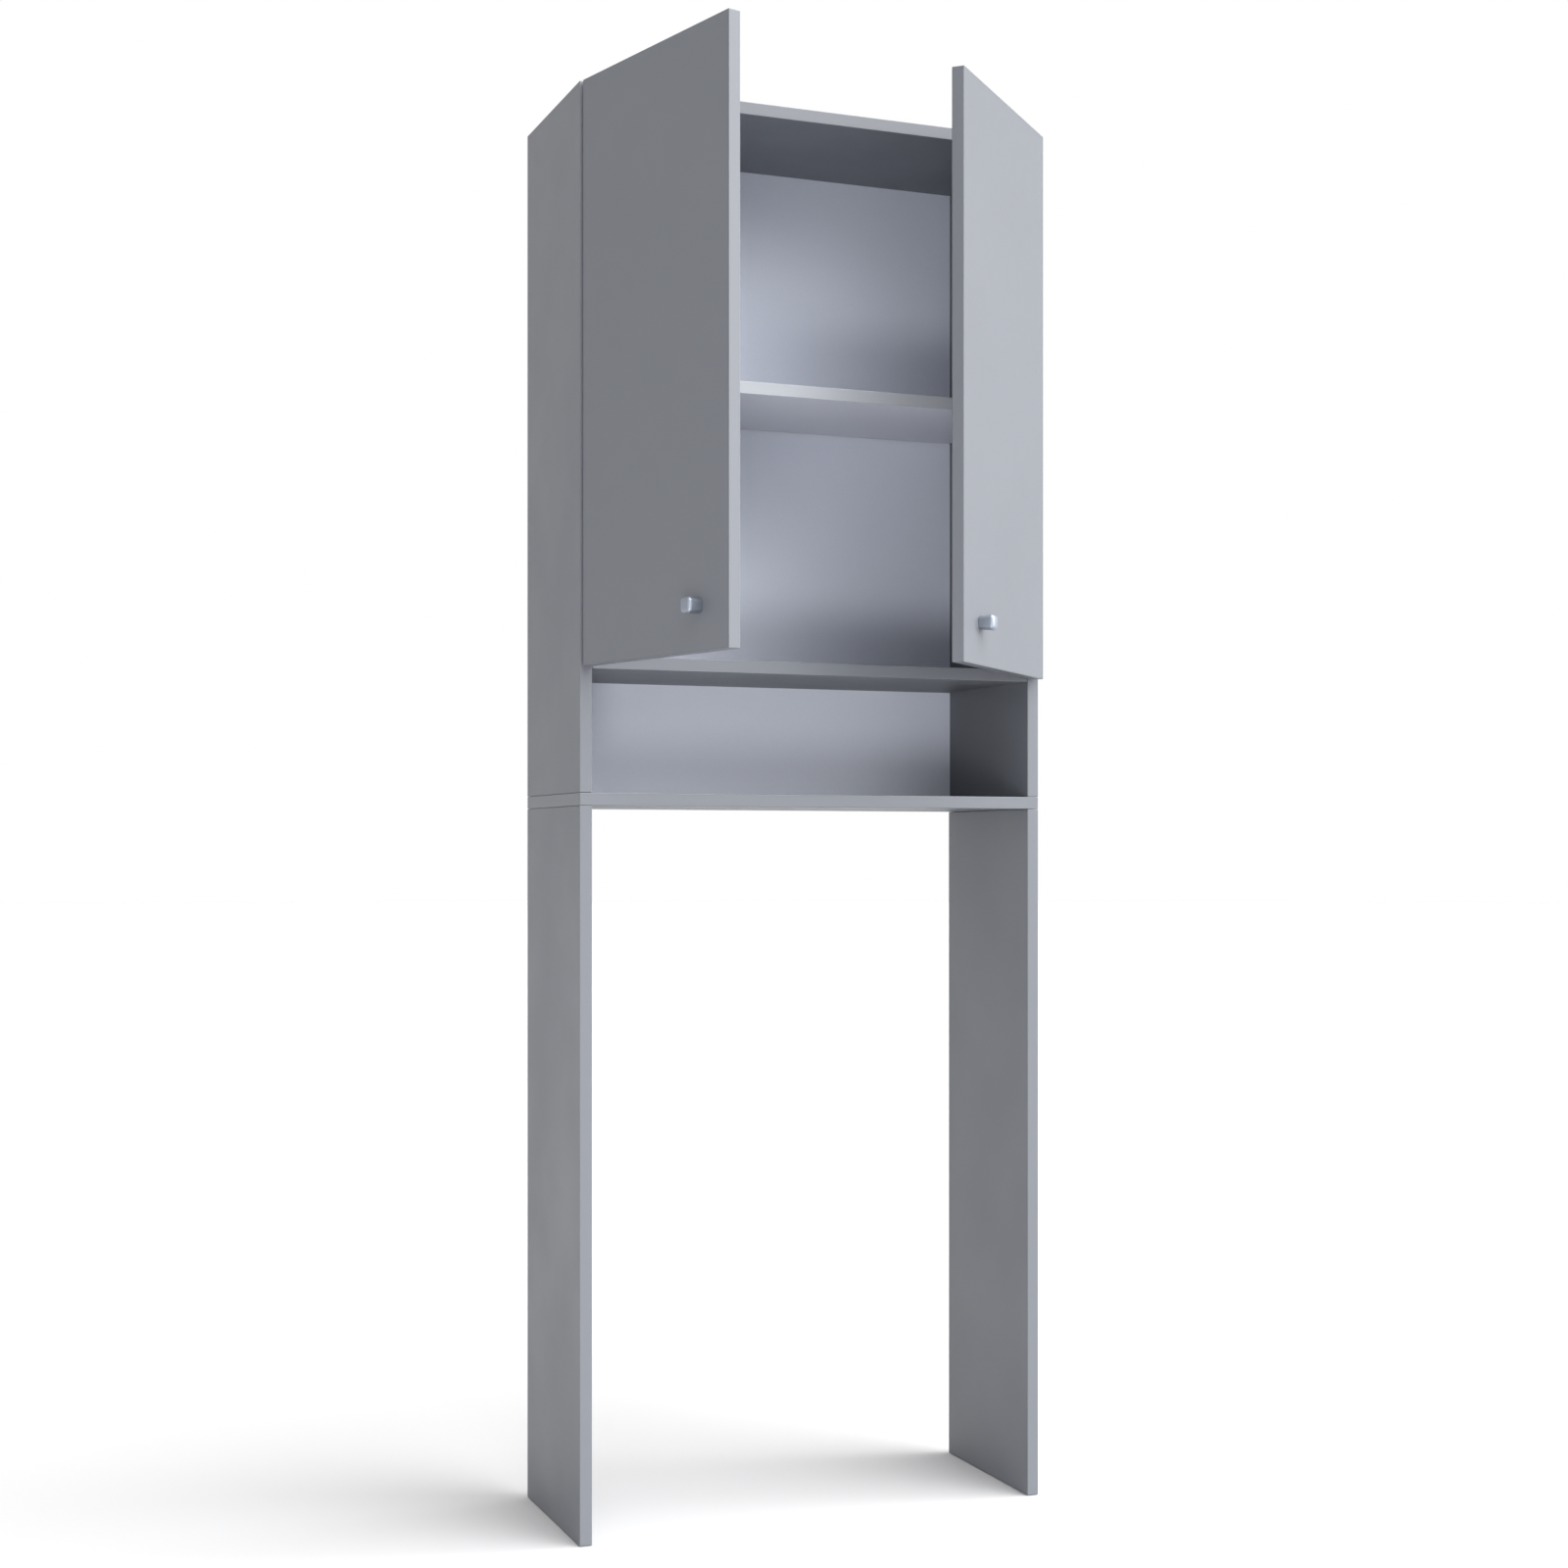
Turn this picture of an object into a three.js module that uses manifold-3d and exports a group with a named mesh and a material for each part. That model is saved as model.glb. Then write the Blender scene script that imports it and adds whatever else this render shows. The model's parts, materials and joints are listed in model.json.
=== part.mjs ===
// A tall cabinet that stands over a washing machine, as a three.js scene of named meshes.
// Millimetres, +X right, +Y back, +Z up. The origin lies on the floor, on the middle plane of the
// cabinet, half way between its back and the free edge of the left door, which stands open.

import * as THREE from 'three';
import { mergeVertices } from 'three/addons/utils/BufferGeometryUtils.js';
import Module from 'manifold-3d';

const wasm = await Module();
wasm.setup();

// Driving dimensions of the carcass
const carcassWidth = 640;
const carcassDepth = 250;
const boardThickness = 16;
const lowerSideHeight = 924;
const nicheHeight = 155;
const compartmentHeight = 700;
const seam = 0.3;
const arris = 0.8;

// Back panel of the upper cabinet, let into a rebate behind the boards
const backThickness = 3;
const backInset = 0.8;
const rebateWidth = 8;
const rebateClearance = 0.4;

// Loose shelf and the pins that carry it
const shelfRise = 342.5;
const shelfFrontSetback = 2;
const shelfBackGap = 1.5;
const pinRadius = 2.5;
const pinCollarRadius = 4;
const pinCollarThickness = 1.2;
const pinDepthInBoard = 8;
const pinReach = 8;
const pinHoleClearance = 0.3;
const pinFrontSetback = 37;
const pinBackSetback = 40;

// Doors
const doorThickness = 16;
const doorFrontGap = 2;
const doorSideReveal = 1;
const doorMiddleGap = 3;
const doorTopReveal = 0.5;
const doorBottomReveal = 3;
const leftDoorOpening = THREE.MathUtils.degToRad(75);
const rightDoorOpening = THREE.MathUtils.degToRad(45);

// Square knobs and the screws that hold them
const knobWidth = 20.5;
const knobFootWidth = 17;
const knobHeight = 21;
const knobEdgeRounding = 3.4;
const knobCrown = 1;
const knobSquareness = 9;
const knobFromFreeEdge = 62;
const knobAboveDoorBottom = 53;
const knobScrewRadius = 2;
const knobScrewHeadRadius = 4;
const knobScrewHeadHeight = 2.2;
const knobScrewInKnob = 9;
const knobHoleClearance = 0.4;

// Concealed hinges: heights on the door and the four pivots of the closed linkage, seen from above.
// The pivots of the arm are counted from the outer front corner of the carcass side. Those of the
// cup, and the bends of the links, are counted from the hinge corner of the door's inner face.
const hingeFromDoorEnd = 100;
const rearArmPivot = new THREE.Vector2(36.9, 10);
const frontArmPivot = new THREE.Vector2(36.9, 1.8);
const nearCupPivotInDoor = new THREE.Vector2(10.4, -3.1);
const deepCupPivotInDoor = new THREE.Vector2(11.3, -6.9);
const outerLinkBendInDoor = new THREE.Vector2(15.8, -6.3);
const innerLinkBendInDoor = new THREE.Vector2(19.4, -8.4);

// How far each link turns for each turn of its door. Both swing back a little as the door opens.
const outerLinkTurnShare = -0.25;
const innerLinkTurnShare = -0.15;

// Play of the open pivot: the pin in the arm wanders in the slot of the inner link
const slotReach = 1.75;
const slotDirection = THREE.MathUtils.degToRad(46);
const slotPlay = 0.35;

// Hinge sheet metal
const hingePinRadius = 1.1;
const hingePinClearance = 0.2;
const rivetHeadRadius = 1.8;
const rivetHeadHeight = 0.6;
const linkThickness = 2.4;
const linkEyeWall = 1.1;
const innerLinkHalfWidth = 3.4;
const outerLinkCheek = 1.6;
const armCheek = 1.4;
const cupEarThickness = 2;
const layerGap = 0.4;

// Hinge cup
const cupBoreRadius = 17.5;
const cupBoreFromDoorEdge = 4.5;
const cupBoreCover = 2.7;
const cupWall = 0.8;
const cupClearance = 0.3;
const cupCornerRadius = 1.6;
const flangeThickness = 0.8;
const flangeRim = 1.6;
const flangeEarOffset = 6.5;
const flangeScrewSpacing = 48;
const flangeEarHalfWidth = 5.5;
const flangeCornerRadius = 4.5;
const flangeScrewHoleRadius = 2;
const cupEarMargin = 2.4;
const cupThroatDepth = 1;

// Hinge arm: heights above the pivots and above the board, and depths behind the front edge
const armNoseClearance = 0.5;
const armNoseMargin = 3.4;
const armNoseHeadroom = 5.7;
const armRearRise = 16;
const armNoseLength = 17;
const armSlopeLength = 14;
const armEnd = 62;
const armSkirtGap = 4;
const armThroatDepth = 21;
const armSlotLength = 9;
const armSlotWidth = 5;
const armSlotCornerRadius = 2.3;
const armSlotFromEnd = 12;
const armAdjusterFromEnd = 29;
const armAdjusterRadius = 2.4;

// Mounting plate on the carcass side
const plateThickness = 1.8;
const plateWingSpan = 48;
const plateWingWidth = 13;
const plateCornerRadius = 4.3;
const plateLine = 37;
const plateFront = 23;
const plateScrewSpacing = 32;
const plateScrewHoleRadius = 2.6;
const clampScrewRadius = 2;
const clampScrewDepth = 7;

// Steps of the round forms, and one overrun for every cut
const roundSteps = 24;
const knobSteps = 32;
const smallRoundSteps = 10;
const cornerSteps = 2;
const arcSteps = 3;
const bendSteps = 6;
const overrun = 1;

// Places that follow from the driving dimensions
const baseTop = lowerSideHeight + boardThickness;
const fixedShelfBottom = baseTop + nicheHeight;
const fixedShelfTop = fixedShelfBottom + boardThickness;
const topBoardBottom = fixedShelfTop + compartmentHeight;
const carcassHeight = topBoardBottom + boardThickness;
const innerRight = carcassWidth - boardThickness;
const backFront = carcassDepth - backInset - backThickness;
const rebateFront = backFront - rebateClearance;
const shelfBottom = fixedShelfTop + shelfRise;
const shelfTop = shelfBottom + boardThickness;
const shelfSideGap = seam + pinCollarThickness + seam;
const doorWidth = (carcassWidth - doorMiddleGap) / 2 - doorSideReveal;
const doorBottom = fixedShelfBottom + doorBottomReveal;
const doorTop = carcassHeight - doorTopReveal;
const doorInnerFace = -doorFrontGap;
const doorOuterFace = doorInnerFace - doorThickness;
const doorReach = doorWidth * Math.sin(leftDoorOpening);
const cupCentre = doorSideReveal + cupBoreFromDoorEdge + cupBoreRadius;
const cupDepth = doorThickness - cupBoreCover - cupClearance;
const inDoor = (place) => place.clone().add(new THREE.Vector2(doorSideReveal, doorInnerFace));
const nearCupPivot = inDoor(nearCupPivotInDoor);
const deepCupPivot = inDoor(deepCupPivotInDoor);
const armNoseTop = frontArmPivot.x + armNoseHeadroom;
const armRearTop = boardThickness + armRearRise;
const armSkirt = boardThickness + armSkirtGap;
const hingeHeights = {
  lower: doorBottom + hingeFromDoorEnd,
  upper: doorTop - hingeFromDoorEnd,
};

// Finishes
const finish = (color, roughness, metalness = 0) =>
  new THREE.MeshStandardMaterial({ color, roughness, metalness });
const greyBoard = finish('#8f949c', 0.5);
const whiteBoard = finish('#e9eaee', 0.5);
const satinChrome = finish('#b9bfc8', 0.28, 1);
const nickelSteel = finish('#aeb2b8', 0.35, 1);
const zincSteel = finish('#c5c8cc', 0.4, 1);

// Solids for joining and cutting
function toSolid(geometry) {
  const bare = new THREE.BufferGeometry();
  const flat = geometry.index ? geometry.toNonIndexed() : geometry;
  bare.setAttribute('position', flat.getAttribute('position').clone());
  const merged = mergeVertices(bare);
  return new wasm.Manifold(
    new wasm.Mesh({
      numProp: 3,
      vertProperties: merged.getAttribute('position').array,
      triVerts: new Uint32Array(merged.index.array),
    }),
  );
}

function fromSolid(solid) {
  const mesh = solid.getMesh();
  const geometry = new THREE.BufferGeometry();
  geometry.setAttribute('position', new THREE.BufferAttribute(mesh.vertProperties, 3));
  geometry.setIndex(new THREE.BufferAttribute(mesh.triVerts, 1));
  const flat = geometry.toNonIndexed();
  flat.computeVertexNormals();
  return flat;
}

function combine(pieces, cutters = []) {
  let solid = toSolid(pieces[0]);
  for (const piece of pieces.slice(1)) solid = solid.add(toSolid(piece));
  for (const cutter of cutters) solid = solid.subtract(toSolid(cutter));
  return fromSolid(solid);
}

// Shapes are drawn flat and raised along +Z; this turns them so that they rise along another axis.
const turned = {
  x: new THREE.Matrix4().makeBasis(
    new THREE.Vector3(0, 1, 0),
    new THREE.Vector3(0, 0, 1),
    new THREE.Vector3(1, 0, 0),
  ),
  y: new THREE.Matrix4().makeBasis(
    new THREE.Vector3(0, 0, 1),
    new THREE.Vector3(1, 0, 0),
    new THREE.Vector3(0, 1, 0),
  ),
  z: new THREE.Matrix4(),
};
const flatAxes = { x: ['y', 'z'], y: ['z', 'x'], z: ['x', 'y'] };

// A flat shape raised from one level to another
function slab(shape, low, high) {
  const settings = { depth: high - low, bevelEnabled: false, curveSegments: cornerSteps };
  return new THREE.ExtrudeGeometry(shape, settings).translate(0, 0, low);
}

// A plain block between two corners, for joining and cutting
function block(low, high) {
  const size = new THREE.Vector3().subVectors(high, low);
  const middle = new THREE.Vector3().addVectors(low, high).multiplyScalar(0.5);
  return new THREE.BoxGeometry(size.x, size.y, size.z).translate(middle.x, middle.y, middle.z);
}

// A round rod along one axis, from one level to another
function rod(axis, centre, radius, start, end, steps = smallRoundSteps) {
  const round = new THREE.Shape().absarc(0, 0, radius, 0, 2 * Math.PI);
  const settings = { depth: end - start, bevelEnabled: false, curveSegments: steps / 2 };
  const geometry = new THREE.ExtrudeGeometry(round, settings).translate(0, 0, start);
  geometry.applyMatrix4(turned[axis]);
  const place = { x: 0, y: 0, z: 0, ...centre };
  return geometry.translate(place.x, place.y, place.z);
}

// The outline of a rectangle with rounded corners, between two corners of a plane
function roundedRectangle(left, bottom, right, top, radius) {
  const shape = new THREE.Shape();
  shape.absarc(right - radius, bottom + radius, radius, -Math.PI / 2, 0);
  shape.absarc(right - radius, top - radius, radius, 0, Math.PI / 2);
  shape.absarc(left + radius, top - radius, radius, Math.PI / 2, Math.PI);
  shape.absarc(left + radius, bottom + radius, radius, Math.PI, (3 * Math.PI) / 2);
  return shape;
}

// A board with softened edges between two corners; its thickness runs along the given axis
function board(axis, low, high) {
  const [across, up] = flatAxes[axis];
  const outline = roundedRectangle(
    low[across] + arris,
    low[up] + arris,
    high[across] - arris,
    high[up] - arris,
    arris / 2,
  );
  const geometry = new THREE.ExtrudeGeometry(outline, {
    depth: high[axis] - low[axis] - 2 * arris,
    bevelThickness: arris,
    bevelSize: arris,
    bevelSegments: 2,
    curveSegments: 1,
  });
  geometry.translate(0, 0, low[axis] + arris);
  return geometry.applyMatrix4(turned[axis]);
}

const point = (x, y, z) => new THREE.Vector3(x, y, z);

function mesh(name, geometry, material) {
  const made = new THREE.Mesh(geometry, material);
  made.name = name;
  return made;
}

// Heights of the rebate that holds the back panel in the sides, and of the holes for the shelf pins
const backBottom = baseTop + seam;
const backTop = topBoardBottom + rebateWidth - seam;
const pinHeight = shelfBottom - seam - pinRadius;
const pinPlaces = {
  front: pinFrontSetback,
  rear: rebateFront - pinBackSetback,
};

// Carcass boards
function lowerSide(left) {
  return board('x', point(left, 0, 0), point(left + boardThickness, carcassDepth, lowerSideHeight - seam));
}

function upperSide() {
  const side = board(
    'x',
    point(0, 0, baseTop + seam),
    point(boardThickness, carcassDepth, carcassHeight),
  );
  const rebate = block(
    point(boardThickness - rebateWidth, rebateFront, baseTop - overrun),
    point(boardThickness + overrun, carcassDepth + overrun, backTop + seam),
  );
  const holes = Object.values(pinPlaces).map((y) =>
    rod(
      'x',
      { y, z: pinHeight },
      pinRadius + pinHoleClearance,
      boardThickness - pinDepthInBoard - seam,
      boardThickness + overrun,
    ),
  );
  return combine([side], [rebate, ...holes]);
}

function baseBoard() {
  return board('z', point(0, 0, lowerSideHeight), point(carcassWidth, carcassDepth, baseTop));
}

function fixedShelf() {
  return board(
    'z',
    point(boardThickness + seam, 0, fixedShelfBottom),
    point(innerRight - seam, rebateFront, fixedShelfTop),
  );
}

function topBoard() {
  const top = board(
    'z',
    point(boardThickness + seam, 0, topBoardBottom),
    point(innerRight - seam, carcassDepth, carcassHeight),
  );
  const rebate = block(
    point(0, rebateFront, topBoardBottom - overrun),
    point(carcassWidth, carcassDepth + overrun, topBoardBottom + rebateWidth),
  );
  return combine([top], [rebate]);
}

function backPanel() {
  return block(
    point(boardThickness - rebateWidth + seam, backFront, backBottom),
    point(innerRight + rebateWidth - seam, backFront + backThickness, backTop),
  );
}

function looseShelf() {
  return board(
    'z',
    point(boardThickness + shelfSideGap, shelfFrontSetback, shelfBottom),
    point(innerRight - shelfSideGap, rebateFront - shelfBackGap, shelfTop),
  );
}

// A shelf pin lies along X: a peg in the board, a thin collar and a stub under the shelf
function shelfPin(y) {
  const profile = [
    new THREE.Vector2(0, -pinDepthInBoard),
    new THREE.Vector2(pinRadius, -pinDepthInBoard),
    new THREE.Vector2(pinRadius, seam),
    new THREE.Vector2(pinCollarRadius, seam),
    new THREE.Vector2(pinCollarRadius, seam + pinCollarThickness),
    new THREE.Vector2(pinRadius, seam + pinCollarThickness),
    new THREE.Vector2(pinRadius, pinReach),
    new THREE.Vector2(0, pinReach),
  ];
  const pin = new THREE.LatheGeometry(profile, smallRoundSteps);
  return pin.rotateZ(-Math.PI / 2).translate(boardThickness, y, pinHeight);
}

// Doors
const knobCentre = doorSideReveal + doorWidth - knobFromFreeEdge;
const knobZ = doorBottom + knobAboveDoorBottom;

function door() {
  const panel = board(
    'y',
    point(doorSideReveal, doorOuterFace, doorBottom),
    point(doorSideReveal + doorWidth, doorInnerFace, doorTop),
  );
  const cupBores = Object.values(hingeHeights).map((z) =>
    rod(
      'y',
      { x: cupCentre, z },
      cupBoreRadius,
      doorInnerFace - cupDepth - cupClearance,
      doorInnerFace + overrun,
      roundSteps,
    ),
  );
  const knobHole = rod(
    'y',
    { x: knobCentre, z: knobZ },
    knobScrewRadius + knobHoleClearance,
    doorOuterFace - overrun,
    doorInnerFace + overrun,
  );
  return combine([panel], [...cupBores, knobHole]);
}

// The knob is turned as a round form along Y, and then its sections are squared
function knob() {
  const foot = doorOuterFace - seam;
  const head = foot - knobHeight;
  const rounding = [];
  for (let step = 0; step <= arcSteps; step += 1) {
    const angle = (step / arcSteps) * (Math.PI / 2);
    const radius = knobWidth / 2 - knobEdgeRounding * (1 - Math.cos(angle));
    rounding.push(new THREE.Vector2(radius, head + knobCrown + knobEdgeRounding * (1 - Math.sin(angle))));
  }
  const profile = [
    new THREE.Vector2(0, head),
    ...rounding.reverse(),
    new THREE.Vector2(knobFootWidth / 2, foot),
    new THREE.Vector2(0, foot),
  ];
  const turnedForm = new THREE.LatheGeometry(profile, knobSteps);
  const places = turnedForm.getAttribute('position');
  for (let i = 0; i < places.count; i += 1) {
    const x = places.getX(i);
    const z = places.getZ(i);
    const radius = Math.hypot(x, z);
    if (radius > 0) {
      const sum = Math.abs(x / radius) ** knobSquareness + Math.abs(z / radius) ** knobSquareness;
      const stretch = 1 / sum ** (1 / knobSquareness);
      places.setX(i, x * stretch);
      places.setZ(i, z * stretch);
    }
  }
  const bore = rod('y', {}, knobScrewRadius + seam, foot - knobScrewInKnob - seam, foot + overrun);
  return combine([turnedForm], [bore]).translate(knobCentre, 0, knobZ);
}

function knobScrew() {
  const tip = doorOuterFace - seam - knobScrewInKnob;
  const seat = doorInnerFace + seam;
  const profile = [
    new THREE.Vector2(0, tip),
    new THREE.Vector2(knobScrewRadius, tip),
    new THREE.Vector2(knobScrewRadius, seat),
    new THREE.Vector2(knobScrewHeadRadius, seat),
    new THREE.Vector2(knobScrewHeadRadius, seat + knobScrewHeadHeight / 2),
    new THREE.Vector2(knobScrewHeadRadius / 2, seat + knobScrewHeadHeight),
    new THREE.Vector2(0, seat + knobScrewHeadHeight),
  ];
  return new THREE.LatheGeometry(profile, smallRoundSteps).translate(knobCentre, 0, knobZ);
}

// Layers of a hinge, counted from its middle height outwards
const outerLinkInside = innerLinkHalfWidth + layerGap;
const outerLinkOutside = outerLinkInside + outerLinkCheek;
const armInside = outerLinkOutside + layerGap;
const armOutside = armInside + armCheek;
const cupEarOutside = armInside + cupEarThickness;
const pinBoreRadius = hingePinRadius + hingePinClearance;
const eyeRadius = pinBoreRadius + linkEyeWall;

// A round rod standing at a pivot
const post = (pivot, radius, low, high) => rod('z', { x: pivot.x, y: pivot.y }, radius, low, high);

// Both layers of a pair that lies above and below the middle height
const pairOf = (inside, outside, make) => [make(inside, outside), make(-outside, -inside)];

// The bar of a link: a band of even width along a bent line between two pivots
function linkBar(from, bend, to, low, high) {
  const line = new THREE.QuadraticBezierCurve(from, bend, to);
  const edges = [[], []];
  for (let step = 0; step <= bendSteps; step += 1) {
    const share = step / bendSteps;
    const middle = line.getPoint(share);
    const along = line.getTangent(share);
    const aside = new THREE.Vector2(-along.y, along.x).multiplyScalar(linkThickness / 2);
    edges[0].push(middle.clone().add(aside));
    edges[1].push(middle.clone().sub(aside));
  }
  return slab(new THREE.Shape([...edges[0], ...edges[1].reverse()]), low, high);
}

// The outer link is a fork: two cheeks, joined by the barrel that turns on the rear pin of the arm
function outerLink() {
  const cheeks = pairOf(outerLinkInside, outerLinkOutside, (low, high) =>
    combine([
      linkBar(rearArmPivot, inDoor(outerLinkBendInDoor), nearCupPivot, low, high),
      post(nearCupPivot, eyeRadius, low, high),
    ]),
  );
  const barrel = post(rearArmPivot, eyeRadius, -outerLinkOutside, outerLinkOutside);
  const bores = [rearArmPivot, nearCupPivot].map((pivot) =>
    post(pivot, pinBoreRadius, -outerLinkOutside - overrun, outerLinkOutside + overrun),
  );
  return combine([...cheeks, barrel], bores);
}

// The inner link runs between the cheeks. Its front eye is a slot, the pivot that is left open.
function innerLink() {
  const low = -innerLinkHalfWidth;
  const high = innerLinkHalfWidth;
  const slotEnd = new THREE.Vector2(Math.cos(slotDirection), Math.sin(slotDirection))
    .multiplyScalar(slotReach)
    .add(frontArmPivot);
  const slotRadius = hingePinRadius + slotPlay;
  const wide = (radius, from, to) =>
    combine([
      post(frontArmPivot, radius, from, to),
      post(slotEnd, radius, from, to),
      slab(bandShape(frontArmPivot, slotEnd, radius), from, to),
    ]);
  return combine(
    [
      linkBar(frontArmPivot, inDoor(innerLinkBendInDoor), deepCupPivot, low, high),
      wide(slotRadius + linkEyeWall, low, high),
      post(deepCupPivot, eyeRadius, low, high),
    ],
    [
      wide(slotRadius, low - overrun, high + overrun),
      post(deepCupPivot, pinBoreRadius, low - overrun, high + overrun),
    ],
  );
}

// The straight band between two round ends
function bandShape(from, to, radius) {
  const along = new THREE.Vector2().subVectors(to, from).normalize();
  const aside = new THREE.Vector2(-along.y, along.x).multiplyScalar(radius);
  return new THREE.Shape([
    from.clone().add(aside),
    from.clone().sub(aside),
    to.clone().sub(aside),
    to.clone().add(aside),
  ]);
}

// A pin with riveted heads
function rivet(pivot, outside) {
  const end = outside + seam;
  const profile = [
    new THREE.Vector2(0, -end - rivetHeadHeight),
    new THREE.Vector2(rivetHeadRadius, -end - rivetHeadHeight),
    new THREE.Vector2(rivetHeadRadius, -end),
    new THREE.Vector2(hingePinRadius, -end),
    new THREE.Vector2(hingePinRadius, end),
    new THREE.Vector2(rivetHeadRadius, end),
    new THREE.Vector2(rivetHeadRadius, end + rivetHeadHeight),
    new THREE.Vector2(0, end + rivetHeadHeight),
  ];
  const pin = new THREE.LatheGeometry(profile, smallRoundSteps);
  return pin.rotateX(Math.PI / 2).translate(pivot.x, pivot.y, 0);
}

// The drawn cup with its flange, and the two ears that carry the cup pivots
function hingeCup() {
  const outside = cupBoreRadius - cupClearance;
  const inside = outside - cupWall;
  const floor = doorInnerFace - cupDepth;
  const floorTop = floor + cupWall;
  const bend = cupCornerRadius;
  const shell = new THREE.LatheGeometry(
    [
      new THREE.Vector2(0, floor),
      new THREE.Vector2(outside - bend, floor),
      new THREE.Vector2(outside, floor + bend),
      new THREE.Vector2(outside, doorInnerFace + seam + flangeThickness),
      new THREE.Vector2(inside, doorInnerFace + seam + flangeThickness),
      new THREE.Vector2(inside, floorTop + bend),
      new THREE.Vector2(inside - bend, floorTop),
      new THREE.Vector2(0, floorTop),
    ],
    roundSteps,
  ).translate(cupCentre, 0, 0);

  const flangeLow = doorInnerFace + seam;
  const flangeHigh = flangeLow + flangeThickness;
  const earCentre = cupCentre + flangeEarOffset;
  const screwHeights = [-flangeScrewSpacing / 2, flangeScrewSpacing / 2];
  const earStrip = roundedRectangle(
    -flangeScrewSpacing / 2 - flangeEarHalfWidth,
    earCentre - flangeEarHalfWidth,
    flangeScrewSpacing / 2 + flangeEarHalfWidth,
    earCentre + flangeEarHalfWidth,
    flangeCornerRadius,
  );
  const strip = slab(earStrip, flangeLow, flangeHigh).applyMatrix4(turned.y);
  const disc = rod('y', { x: cupCentre }, cupBoreRadius + flangeRim, flangeLow, flangeHigh, roundSteps);
  const mouth = rod(
    'y',
    { x: cupCentre },
    (inside + outside) / 2,
    flangeLow - overrun,
    flangeHigh + overrun,
    roundSteps,
  );
  const screwHoles = screwHeights.map((z) =>
    rod('y', { x: earCentre, z }, flangeScrewHoleRadius, flangeLow - overrun, flangeHigh + overrun),
  );
  const flange = combine([disc, strip], [mouth, ...screwHoles]);

  const ears = pairOf(armInside, cupEarOutside, (low, high) =>
    combine([
      block(
        point(nearCupPivot.x - cupEarMargin, floor + cupWall / 2, low),
        point(deepCupPivot.x + cupEarMargin, nearCupPivot.y, high),
      ),
      post(nearCupPivot, cupEarMargin, low, high),
    ]),
  );
  const trunnions = pairOf(outerLinkInside, armInside + layerGap, (low, high) =>
    post(nearCupPivot, hingePinRadius, low, high),
  );
  const bore = post(deepCupPivot, pinBoreRadius, -cupEarOutside - overrun, cupEarOutside + overrun);
  // The rim is cut down where the links pass over it when the door is wide open
  const throat = block(
    point(cupCentre - cupBoreRadius - flangeRim - overrun, doorInnerFace - cupThroatDepth, -armInside),
    point(nearCupPivot.x - cupEarMargin, flangeHigh + overrun, armInside),
  );
  return combine([shell, flange, ...ears, ...trunnions], [bore, throat]);
}

// The arm is a channel that is open towards the carcass side and towards the door
function hingeArm() {
  const noseBottom = doorInnerFace + seam + flangeThickness + armNoseClearance;
  const noseLeft = frontArmPivot.x - armNoseMargin;
  const slopeEnd = armNoseLength + armSlopeLength;
  const outline = new THREE.Shape([
    new THREE.Vector2(noseLeft, noseBottom),
    new THREE.Vector2(armNoseTop - armCheek, noseBottom),
    new THREE.Vector2(armNoseTop, noseBottom + armCheek),
    new THREE.Vector2(armNoseTop, armNoseLength),
    new THREE.Vector2(armRearTop, slopeEnd),
    new THREE.Vector2(armRearTop, armEnd),
    new THREE.Vector2(armSkirt, armEnd),
    new THREE.Vector2(armSkirt, armThroatDepth),
    new THREE.Vector2(noseLeft, rearArmPivot.y + armNoseMargin),
  ]);
  const channel = new THREE.Shape([
    new THREE.Vector2(armSkirt - overrun, noseBottom - overrun),
    new THREE.Vector2(armNoseTop - armCheek, noseBottom - overrun),
    new THREE.Vector2(armNoseTop - armCheek, armNoseLength - armCheek / 2),
    new THREE.Vector2(armRearTop - armCheek, slopeEnd - armCheek / 2),
    new THREE.Vector2(armRearTop - armCheek, armEnd + overrun),
    new THREE.Vector2(armSkirt - overrun, armEnd + overrun),
  ]);
  const bores = [rearArmPivot, frontArmPivot].map((pivot) =>
    post(pivot, pinBoreRadius, -armOutside - overrun, armOutside + overrun),
  );
  const slotMiddle = armEnd - armSlotFromEnd;
  const slot = slab(
    roundedRectangle(
      slotMiddle - armSlotLength / 2,
      -armSlotWidth / 2,
      slotMiddle + armSlotLength / 2,
      armSlotWidth / 2,
      armSlotCornerRadius,
    ),
    armRearTop - armCheek - overrun,
    armRearTop + overrun,
  ).applyMatrix4(turned.x);
  const adjuster = rod(
    'x',
    { y: armEnd - armAdjusterFromEnd },
    armAdjusterRadius,
    armRearTop - armCheek - overrun,
    armRearTop + overrun,
  );
  return combine(
    [slab(outline, -armOutside, armOutside)],
    [slab(channel, -armInside, armInside), ...bores, slot, adjuster],
  );
}

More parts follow.
